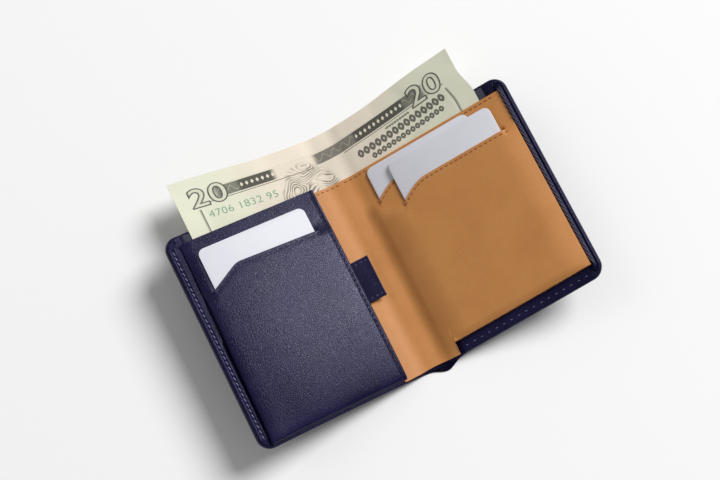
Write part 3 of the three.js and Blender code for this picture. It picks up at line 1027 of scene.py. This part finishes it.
class WALLET_OT_stitching(bpy.types.Operator):
    """Sew the seams: each stitch is its own short length of thread"""

    bl_idname = "wallet.stitching"
    bl_label = "Stitching"

    def execute(self, context):
        navy = thread("navy_thread", (0.006, 0.005, 0.016), (0.002, 0.002, 0.006))
        # The pale and cord threads are the navy thread lightened to paint the sheen that the rim stitches
        # catch; only their hue is the thread's own navy.
        pale = thread("navy_thread_painted_sheen", (0.36, 0.34, 0.47), (0.14, 0.13, 0.22))
        cord = thread("navy_cord_painted_sheen", (0.10, 0.09, 0.15), (0.02, 0.018, 0.04))
        tan = thread("tan_thread", (0.30, 0.105, 0.025), (0.13, 0.04, 0.01))
        self.leaf_seams_left(navy, pale)
        self.leaf_seams_right(pale, cord, tan)
        return {"FINISHED"}

    def leaf_seams_left(self, navy, pale):
        def panel(x, y):
            return panel_height(x, y, sides_of(x, y, LEFT_SLIT))

        # The rim's stitches take the pale thread, lightened as painted sheen.
        x = LEAF_EDGE - 3.0 * MM
        self.seam("left_rim", LEFT, [(x, -HALF + 5 * MM), (x, HALF - 6 * MM)], self.rim(LEFT), pale,
                  turn=-0.22, long=0.8, thick=0.42, lift=0.16)
        line = [(PANEL_SEAM, PANEL_LOWER + 3 * MM), (PANEL_SEAM, PANEL[1].y - 1 * MM)]
        self.seam("left_panel_edge", LEFT, line, panel, navy)
        self.seam("left_slot", LEFT, LEFT_SLIT.beside(), panel, navy)

    def leaf_seams_right(self, pale, cord, tan):
        def face(x, y):
            return tan_face_height(x, y, sides_of(x, y, FRONT_SLIT, REAR_SLIT))

        def strip(x, y):
            return tan_face_height(-x, y, (0, 0, 0))

        # The rim's cord and the lower border's stitches take threads lightened as painted sheen.
        x = LEAF_EDGE - 3.3 * MM
        self.seam("right_rim", RIGHT, [(x, -HALF + 7 * MM), (x, HALF - 7 * MM)], self.rim(RIGHT), cord,
                  turn=0.3, long=1.75, thick=0.6, pitch=1.1, lift=0.14)
        y = -HALF + 2.9 * MM
        self.seam("right_bottom", RIGHT, [(BORDER_END + 2 * MM, y), (LEAF_EDGE - 6 * MM, y)], self.rim(RIGHT),
                  pale, long=0.3, thick=0.26, pitch=1.5)
        y = LINING_UPPER - SEAM_INSET
        self.seam("right_top", RIGHT, [(0.9 * MM, y), (LINING[1].x - 2 * MM, y)], face, tan, folds=True)
        self.seam("left_top", LEFT, [(0.9 * MM, y), (PANEL[0].x, y)], strip, tan, folds=True)
        self.seam("right_front_slot", RIGHT, FRONT_SLIT.beside(), face, tan)
        rear = [p for p in REAR_SLIT.beside() if p[0] < CARD_FRONT[0].x - 0.5 * MM]
        self.seam("right_rear_slot", RIGHT, rear, face, tan)

    def rim(self, side):
        height = rim_height(side)
        return lambda x, y: height(x, y, None)

    def seam(self, name, side, line, height, material, turn=0.0, long=0.7, thick=0.52, pitch=1.0, lift=0.1,
             folds=False):
        """A row of stitches along a line. turn slants each one, pitch stretches the usual spacing and long is
        a stitch's share of it. thick and lift are in millimetres. It stands for the CAD seam of its name."""
        spacing = settings().stitch_pitch * pitch
        half_size = (spacing * long / 2, thick * MM / 2, thick * MM / 2)
        points = [Vector(p) for p in line]
        bm = bmesh.new()
        travelled, due = 0.0, spacing / 2
        for start, end in zip(points, points[1:]):
            length = (end - start).length
            heading = Matrix.Rotation(math.atan2(end.y - start.y, end.x - start.x) + turn, 4, "Z")
            while due <= travelled + length:
                x, y = start.lerp(end, (due - travelled) / length)
                add_stitch(bm, (x, y, height(x, y) + lift * MM), heading, half_size)
                due += spacing
            travelled += length
        piece = finish_piece(f"stitches_{name}", bm, side, material)
        if folds:
            hinge_on(piece)
        else:
            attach(piece, LEAF_BODY[side])
        if f"seam_{name}" in frame["nodes"]:
            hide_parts(f"seam_{name}")


class WALLET_OT_tab_stitching(bpy.types.Operator):
    """Sew the pull tab's two ends"""

    bl_idname = "wallet.tab_stitching"
    bl_label = "Tab Stitching"

    def execute(self, context):
        tab = flat_box("pull_tab")
        top = flat_box("stash_ribbon")[0].z + TAB_LIFT + TAB_LEATHER + 0.07 * MM
        tilt = Matrix.Rotation(TAB_TILT, 4, "Y")
        bm = bmesh.new()
        for y in (tab[0].y + TAB_SEAM, tab[1].y - TAB_SEAM):
            for k in range(3):
                x = tab[0].x + 1.8 * MM + k * 2.5 * MM
                place = (x, y, top + TAB_SLOPE * (PANEL[0].x - x))
                add_stitch(bm, place, tilt, (0.8 * MM, 0.17 * MM, 0.15 * MM))
        navy = bpy.data.materials["navy_thread"]
        piece = finish_piece("stitches_pull_tab", bm, LEFT, navy)
        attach(piece, "stash")
        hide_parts("seam_pull_tab")
        return {"FINISHED"}


class WALLET_OT_stage(bpy.types.Operator):
    """Set the pale floor, the soft lights and the camera"""

    bl_idname = "wallet.stage"
    bl_label = "Stage"

    def execute(self, context):
        scene = context.scene
        self.floor()
        self.light("window_light", (3.45, 0.82, 3.55), 2.5, 262.0)
        self.light("room_light", (-2.0, 2.2, 3.2), 2.2, 12.0)
        world = bpy.data.worlds.new("pale_room")
        world.use_nodes = True
        background = world.node_tree.nodes["Background"]
        connect(world.node_tree, background, {"Color": (1, 1, 1, 1), "Strength": 0.25})
        scene.world = world
        scene.view_settings.view_transform = "Standard"
        self.camera(scene)
        return {"FINISHED"}

    def floor(self):
        bm = bmesh.new()
        bmesh.ops.create_grid(bm, x_segments=1, y_segments=1, size=6)
        mesh = bpy.data.meshes.new("floor")
        bm.to_mesh(mesh)
        bm.free()
        material, tree, shader, _ = new_material("pale_floor")
        connect(tree, shader, {"Base Color": (0.93, 0.93, 0.93, 1), "Roughness": 0.9})
        mesh.materials.append(material)
        new_object("floor", mesh)

    def light(self, name, place, size, power):
        """A round soft light that faces the origin."""
        data = bpy.data.lights.new(name, "AREA")
        data.energy = power
        data.shape = "DISK"
        data.size = size
        lamp = new_object(name, data)
        lamp.location = place
        lamp.rotation_mode = "QUATERNION"
        lamp.rotation_quaternion = Vector(place).to_track_quat("Z", "Y")

    def camera(self, scene):
        data = bpy.data.cameras.new("camera")
        data.lens = 94.7
        data.sensor_width = 36.0
        data.clip_start = 0.05
        camera = new_object("camera", data)
        turn = Matrix()
        for degrees, axis in ((-26.496, "Z"), (3.362, "Y"), (11.805, "X")):
            turn = turn @ Matrix.Rotation(math.radians(degrees), 4, axis)
        aim = Vector((-5.05, 12.6, 22.49)) * MM
        distance = 0.8544
        camera.matrix_world = Matrix.Translation(aim) @ turn @ Matrix.Translation((0, 0, distance))
        scene.camera = camera


PIECE_OPERATORS = (
    WALLET_OT_shell, WALLET_OT_textile, WALLET_OT_lining, WALLET_OT_panel, WALLET_OT_cards, WALLET_OT_stash,
    WALLET_OT_notes, WALLET_OT_stitching, WALLET_OT_tab_stitching, WALLET_OT_stage,
)


class WALLET_PT_sidebar(bpy.types.Panel):
    """Lists the wallet's operators and settings"""

    bl_idname = "WALLET_PT_sidebar"
    bl_label = "Wallet"
    bl_space_type = "VIEW_3D"
    bl_region_type = "UI"
    bl_category = "Wallet"

    def draw(self, context):
        for operator in PIECE_OPERATORS:
            self.layout.operator(operator.bl_idname)
        for name in WalletSettings.__annotations__:
            self.layout.prop(context.scene.wallet, name)


CLASSES = (WalletSettings, *PIECE_OPERATORS, WALLET_PT_sidebar)


def register():
    for cls in CLASSES:
        bpy.utils.register_class(cls)
    bpy.types.Scene.wallet = bpy.props.PointerProperty(type=WalletSettings)


def unregister():
    del bpy.types.Scene.wallet
    for cls in reversed(CLASSES):
        bpy.utils.unregister_class(cls)


def main():
    """Builds the wallet and its stage."""
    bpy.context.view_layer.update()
    register()
    for operator in PIECE_OPERATORS:
        group, name = operator.bl_idname.split(".")
        getattr(getattr(bpy.ops, group), name)()


if __name__ == "__main__":
    main()
